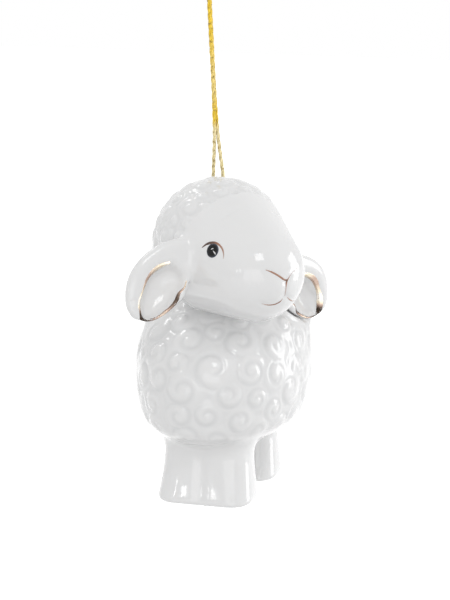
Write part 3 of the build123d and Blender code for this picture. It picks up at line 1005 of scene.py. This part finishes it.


# Hard-paste porcelain, slip-cast and dipped in clear glaze: a wet gloss that ripples faintly where the glaze
# ran, and painted shade: a cooler grey in the grooves and creases between the curls
def makePorcelain():
    facts, material, shader, place = startMaterial("clearGlazedPorcelain")
    paintedShade = addNode(material, "Attribute", {}, "Fac", attribute_name="paintedShade")
    cloud = addNode(material, "TexNoise", {"Vector": place, "Scale": 1000 / facts["cloud"], "Detail": 2.0})
    shadeInGrooves = mottled(material, paintedShade, cloud, 0.2, -0.08)
    tones = {0: shadeInGrooves, 6: linear(facts["colour"]), 7: linear(facts["shadeInGrooves"])}
    colour = addNode(material, "Mix", tones, 2, data_type="RGBA")
    ripple, bump = grained(material, place, facts["ripple"], 1.5, 0.25, 0.12)
    spread = {"Value": ripple, "To Min": facts["roughness"] * 0.7, "To Max": facts["roughness"] * 1.5}
    rough = addNode(material, "MapRange", spread)
    feed(material, shader, {
        "Base Color": colour, "Normal": bump, "Roughness": rough, "IOR": 1.5,
        "Subsurface Weight": 0.1, "Subsurface Radius": (1.0, 0.95, 0.9), "Subsurface Scale": 0.0008,
        "Coat Weight": 0.5, "Coat Roughness": 0.02,
    })
    return material


# Liquid bright gold, brushed on the rims and fired, mirror-like; its colour along the line holds painted
# reflections, cream for a painted highlight and brown-black for a painted dark reflection
def makeGold():
    facts, material, shader, place = startMaterial("brushedGoldLustre")
    patch = addNode(material, "TexNoise", {"Vector": place, "Scale": 1000 / facts["patch"], "Detail": 3.0})
    # the gold's tone runs from a painted highlight through gold and rose to a painted dark reflection
    colour = toneColour(material, facts, patch, 0.24, ("brightReflection", "darkReflection"), {0.3: "colour", 0.62: "rose"})
    _, bump = grained(material, place, facts["brush"], 2.0, 0.15, 0.03)
    spread = {"Value": patch, "To Min": facts["roughness"], "To Max": facts["roughness"] + 0.2}
    rough = addNode(material, "MapRange", spread)
    feed(material, shader, {"Base Color": colour, "Normal": bump, "Roughness": rough, "Metallic": 1.0})
    return material


# Copper-brown china paint, drawn with a fine brush and fired on: thin enough to show its streaks
def makePaint():
    facts, material, shader, place = startMaterial("firedBrownChinaPaint")
    streak, bump = grained(material, place, facts["streak"], 3.0, 0.2, 0.04)
    colour = toneColour(material, facts, streak, 0.4, ("wash", "dark"), {0.45: "colour"})
    feed(material, shader, {
        "Base Color": colour, "Normal": bump, "Roughness": facts["roughness"],
        "Coat Weight": 0.4, "Coat Roughness": 0.08,
    })
    return material


# Charcoal enamel, dropped on thick and fired glossy: it thins to grey at its rim
def makeEnamel():
    facts, material, shader, place = startMaterial("droppedCharcoalEnamel")
    thick = addNode(material, "Attribute", {}, "Fac", attribute_name="thick")
    tones = {0: thick, 6: linear(facts["edge"]), 7: linear(facts["colour"])}
    colour = addNode(material, "Mix", tones, 2, data_type="RGBA")
    _, bump = grained(material, place, facts["ripple"], 1.0, 0.15, 0.05)
    feed(material, shader, {
        "Base Color": colour, "Normal": bump, "Roughness": facts["roughness"], "Specular IOR Level": 0.3,
    })
    return material


# Metallised viscose yarn, three plies twisted: bright filaments with brown specks of the core showing through
def makeYarn():
    facts, material, shader, place = startMaterial("twistedMetallisedYarn")
    yarn = addNode(material, "UVMap", {}, uv_map="yarn")
    # u runs round a ply of about 0.7 mm, v is the place along the cord in mm
    filaments = addNode(
        material, "Mapping", {"Vector": yarn, "Rotation": (0, 0, 0.5), "Scale": (0.7 / facts["filament"], 1.2, 1)}
    )
    fine = addNode(material, "TexNoise", {"Vector": filaments, "Scale": 1.0, "Detail": 2.0})
    along = addNode(material, "Mapping", {"Vector": yarn, "Scale": (3.2, 1 / facts["speckLength"], 1)})
    specks = addNode(material, "TexNoise", {"Vector": along, "Scale": 1.0, "Detail": 1.0})
    specks = addNode(material, "MapRange", {"Value": specks, "From Min": 0.56, "From Max": 0.66})
    height = addNode(material, "SeparateXYZ", {0: place}, "Z")
    bands = {}
    for name, (high, low, first, last) in facts["bands"].items():
        band = {"Value": height, "From Min": high * mm, "From Max": low * mm, "To Min": first, "To Max": last}
        bands[name] = addNode(material, "MapRange", band)
    faded = addNode(material, "Math", {0: bands["faded"], 1: bands["rubbed"]}, operation="MULTIPLY")
    pale = addNode(material, "Math", {0: faded, 1: bands["strands"]}, operation="MAXIMUM")
    tones = {0: pale, 6: linear(facts["colour"]), 7: linear(facts["pale"])}
    colour = addNode(material, "Mix", tones, 2, data_type="RGBA")
    depth = {"Value": fine, "From Min": 0.3, "From Max": 0.7, "To Min": 0.62, "To Max": 1.12}
    shaded = {0: 1.0, 6: colour, 7: addNode(material, "MapRange", depth)}
    colour = addNode(material, "Mix", shaded, 2, data_type="RGBA", blend_type="MULTIPLY")
    tones = {0: specks, 6: colour, 7: linear(facts["speck"])}
    colour = addNode(material, "Mix", tones, 2, data_type="RGBA")
    bump = addNode(material, "Bump", {"Height": fine, "Strength": 0.6, "Distance": 0.00006})
    feed(material, shader, {
        "Base Color": colour, "Normal": bump, "Metallic": 0.55, "Roughness": 0.38, "Sheen Weight": 0.25,
    })
    return material


finishes = (
    (makePorcelain(), [lambBody, lambHead, *glints]),
    (makeGold(), [goldRight, goldLeft]),
    (makePaint(), paint.values()),
    (makeEnamel(), [rightEye, leftEye]),
    (makeYarn(), [goldCord, cordKnot]),
)
for material, pieces in finishes:
    for piece in pieces:
        piece.data.materials.clear()
        piece.data.materials.append(material)
print("materials set")

# Studio: lamps are placed along the camera's own right, up and back
lamps = {  # towards, distance, size and glow
    "sidePanel": ((0.95, 0.05, -0.22), 700, (300, 620), 2.5),
    "frontWindow": ((0.17, 0.55, 0.85), 900, (280, 260), 3.2),
    "frontSheet": ((-0.05, -0.3, 0.95), 1100, (900, 900), 0.95),
    "leftWindowA": ((-0.5, 0.03, 0.78), 900, (28, 90), 7.0),
    "leftWindowB": ((-0.6, 0.03, 0.7), 900, (28, 90), 7.0),
    "highWindow": ((-0.45, 0.8, -0.35), 900, (240, 150), 3.2),
}
studio = {"middleHeight": 38.0, "worldGlow": 0.69, "floorDrop": 120.0, "floorSize": 4000.0, "floorGlow": 0.74}
middle = at(0, 0, studio["middleHeight"])
for name, ((right, up, back), distance, size, power) in lamps.items():
    toward = unit(viewRight * right + viewUp * up + viewBack * back)
    lamp = bpy.data.lights.new(name, "AREA")
    lamp.shape = "RECTANGLE"
    lamp.size, lamp.size_y = (side * mm for side in size)
    lamp.energy = power * math.pi * lamp.size * lamp.size_y
    holder = addObject(name, lamp)
    holder.location = Vector(middle + toward * distance) * mm
    holder.rotation_euler = Vector(toward).to_track_quat("Z", "Y").to_euler()


def backdropShare(material):  # 1 for rays that should see a white backdrop
    rays = addNode(material, "LightPath", {}).node.outputs
    seen = rays["Is Camera Ray"]
    for kind in ("Is Glossy Ray", "Is Transmission Ray"):
        seen = addNode(material, "Math", {0: seen, 1: rays[kind]}, operation="MAXIMUM")
    return seen


world = bpy.data.worlds.new("studio")
world.use_nodes = True
bpy.context.scene.world = world
glow = {"Value": backdropShare(world), "To Min": studio["worldGlow"], "To Max": 1.0}
strength = addNode(world, "MapRange", glow)
feed(world, world.node_tree.nodes["Background"], {"Color": (1, 1, 1, 1), "Strength": strength})

floorWork = bmesh.new()
half, level = studio["floorSize"] / 2, soles[2] - studio["floorDrop"]
corners = [(x * half, y * half, level) for x, y in ((-1, -1), (1, -1), (1, 1), (-1, 1))]
floorWork.faces.new([floorWork.verts.new(Vector(corner) * mm) for corner in corners])
floor = newPiece("floor", floorWork)
facts, paper, shader, place = startMaterial("paperFloor")
fibre = addNode(paper, "TexNoise", {"Vector": place, "Scale": 400.0, "Detail": 3.0})
tones = {0: fibre, 6: linear(facts["colour"]), 7: linear(facts["fibre"])}
colour = addNode(paper, "Mix", tones, 2, data_type="RGBA")
glow = {"Value": backdropShare(paper), "To Max": studio["floorGlow"]}
strength = addNode(paper, "MapRange", glow)
feed(paper, shader, {
    "Base Color": colour, "Roughness": 0.9, "Emission Color": (1, 1, 1, 1), "Emission Strength": strength,
})
floor.data.materials.append(paper)
bpy.context.scene.view_settings.view_transform = "Standard"
print("lights and floor set")

# What each piece rides on; the model's parts that the new pieces take the place of are hidden
for piece in (lambBody, lambHead, rightEye, leftEye, goldRight, goldLeft, *paint.values(), *glints):
    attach(piece, "sheep")
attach(cordKnot, "hanger")
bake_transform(goldCord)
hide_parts("torso_shell", "front_legs", "hind_legs", "tail")
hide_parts("head_shell", "right_ear", "left_ear")
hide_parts("right_eye")
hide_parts("left_eye")
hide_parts("hanging_cord", "cord_stirrup")
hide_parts("cord_knot")

bpy.context.view_layer.update()
